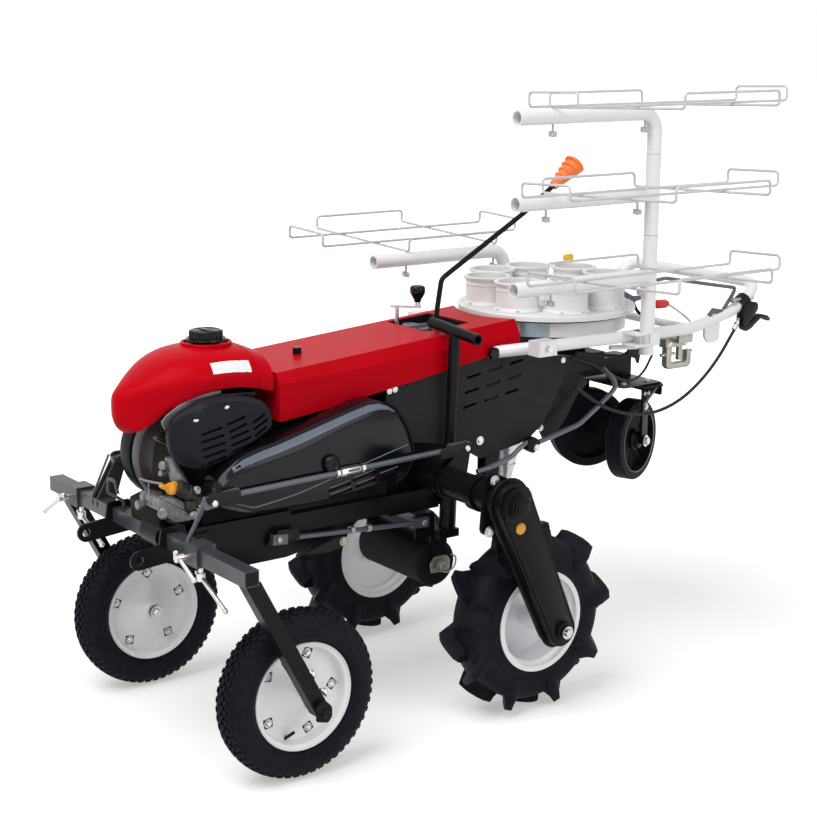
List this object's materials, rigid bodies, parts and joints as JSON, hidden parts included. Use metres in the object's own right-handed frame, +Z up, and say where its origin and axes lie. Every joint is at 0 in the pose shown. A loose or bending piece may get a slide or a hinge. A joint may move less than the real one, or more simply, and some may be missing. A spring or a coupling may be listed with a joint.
{
  "type": "walk-behind vegetable transplanter",
  "caption": "Walk-behind single-row vegetable transplanter with engine, cup turntable, height-set wheels, press wheels and swinging tray racks.",
  "frame": {"origin": "on the ground, at the middle of the machine's length and width", "axes": "+X to the machine's left, +Y to the rear where the operator walks, +Z up"},
  "size_m": [1.3152, 1.7039, 1.3782],
  "materials": {
    "frame_paint": "semi-gloss black",
    "zinc_steel": "zinc plated",
    "cast_metal": "cast, matt",
    "shroud_plastic": "textured black",
    "gloss_cover": "gloss black",
    "red_paint": "gloss red",
    "white_paint": "gloss white",
    "tyre_rubber": "matt black",
    "grip_orange": "satin orange"
  },
  "bodies": {
    "root": {"main_frame": "frame_paint", "transmission_case": "frame_paint", "axle_housing": "frame_paint", "chain_case_left": "frame_paint", "chain_case_right": "frame_paint", "front_beam": "frame_paint", "front_leg_left": "frame_paint", "front_leg_right": "frame_paint", "clamp_screws": "zinc_steel", "beam_brackets": "frame_paint", "engine": "cast_metal", "fan_housing": "shroud_plastic", "muffler_cover": "shroud_plastic", "carburettor": "cast_metal", "fuel_tank": "red_paint", "fuel_cap": "shroud_plastic", "bonnet": "red_paint", "control_panel": "shroud_plastic", "crank_handle": "zinc_steel", "belt_cover": "gloss_cover", "side_plate_left": "frame_paint", "side_plate_right": "frame_paint", "upper_link_rods": "frame_paint", "lower_link_rods": "frame_paint", "height_post": "frame_paint", "roller_yoke": "zinc_steel", "shift_lever": "frame_paint", "lever_grip": "grip_orange", "carousel_base": "frame_paint", "handlebar": "white_paint", "tray_posts": "white_paint", "clutch_lever": "shroud_plastic", "planter_case": "frame_paint", "planting_beak": "zinc_steel", "press_frame": "frame_paint", "clutch_cable": "shroud_plastic"},
    "front_wheel_left": {"front_rim_left": "white_paint", "front_tyre_left": "tyre_rubber"},
    "front_wheel_right": {"front_rim_right": "white_paint", "front_tyre_right": "tyre_rubber"},
    "drive_wheel_left": {"drive_rim_left": "white_paint", "drive_tyre_left": "tyre_rubber"},
    "drive_wheel_right": {"drive_rim_right": "white_paint", "drive_tyre_right": "tyre_rubber"},
    "gauge_roller": {"gauge_roller": "tyre_rubber"},
    "carousel": {"carousel": "white_paint"},
    "press_wheel_left": {"press_wheel_left": "tyre_rubber"},
    "press_wheel_right": {"press_wheel_right": "tyre_rubber"},
    "tray_arm_low_left": {"tray_arm_low_left": "white_paint", "tray_rack_low_left": "white_paint"},
    "tray_arm_mid_left": {"tray_arm_mid_left": "white_paint", "tray_rack_mid_left": "white_paint"},
    "tray_arm_top_left": {"tray_arm_top_left": "white_paint", "tray_rack_top_left": "white_paint"},
    "tray_arm_low_right": {"tray_arm_low_right": "white_paint", "tray_rack_low_right": "white_paint"}
  },
  "joints": [
    {"name": "front_wheel_left_spin", "type": "hinge", "parent": "root", "child": "front_wheel_left", "pos_m": [0.317, -0.5889, 0.178], "axis": [1, 0, 0], "continuous": true},
    {"name": "front_wheel_right_spin", "type": "hinge", "parent": "root", "child": "front_wheel_right", "pos_m": [-0.317, -0.5889, 0.178], "axis": [1, 0, 0], "continuous": true},
    {"name": "drive_wheel_left_spin", "type": "hinge", "parent": "root", "child": "drive_wheel_left", "pos_m": [0.307, 0.0291, 0.213], "axis": [1, 0, 0], "continuous": true},
    {"name": "drive_wheel_right_spin", "type": "hinge", "parent": "root", "child": "drive_wheel_right", "pos_m": [-0.307, 0.0291, 0.213], "axis": [1, 0, 0], "continuous": true},
    {"name": "gauge_roller_spin", "type": "hinge", "parent": "root", "child": "gauge_roller", "pos_m": [0, -0.0809, 0.305], "axis": [1, 0, 0], "continuous": true},
    {"name": "carousel_spin", "type": "hinge", "parent": "root", "child": "carousel", "pos_m": [0, 0.3321, 0.84], "axis": [0, 0, 1], "continuous": true},
    {"name": "press_wheel_left_spin", "type": "hinge", "parent": "root", "child": "press_wheel_left", "pos_m": [0.08, 0.5511, 0.5], "axis": [0.9397, 0.342, 0], "continuous": true},
    {"name": "press_wheel_right_spin", "type": "hinge", "parent": "root", "child": "press_wheel_right", "pos_m": [-0.08, 0.5511, 0.5], "axis": [0.9397, -0.342, 0], "continuous": true},
    {"name": "tray_arm_low_left_swing", "type": "hinge", "parent": "root", "child": "tray_arm_low_left", "pos_m": [0.262, 0.4151, 0.9], "axis": [0, 0, 1], "range_deg": [0, 90]},
    {"name": "tray_arm_mid_left_swing", "type": "hinge", "parent": "root", "child": "tray_arm_mid_left", "pos_m": [0.262, 0.4151, 0.9], "axis": [0, 0, 1], "range_deg": [0, 90]},
    {"name": "tray_arm_top_left_swing", "type": "hinge", "parent": "root", "child": "tray_arm_top_left", "pos_m": [0.262, 0.4151, 0.9], "axis": [0, 0, 1], "range_deg": [0, 90]},
    {"name": "tray_arm_low_right_swing", "type": "hinge", "parent": "root", "child": "tray_arm_low_right", "pos_m": [-0.262, 0.4151, 0.9], "axis": [0, 0, -1], "range_deg": [0, 90]}
  ]
}
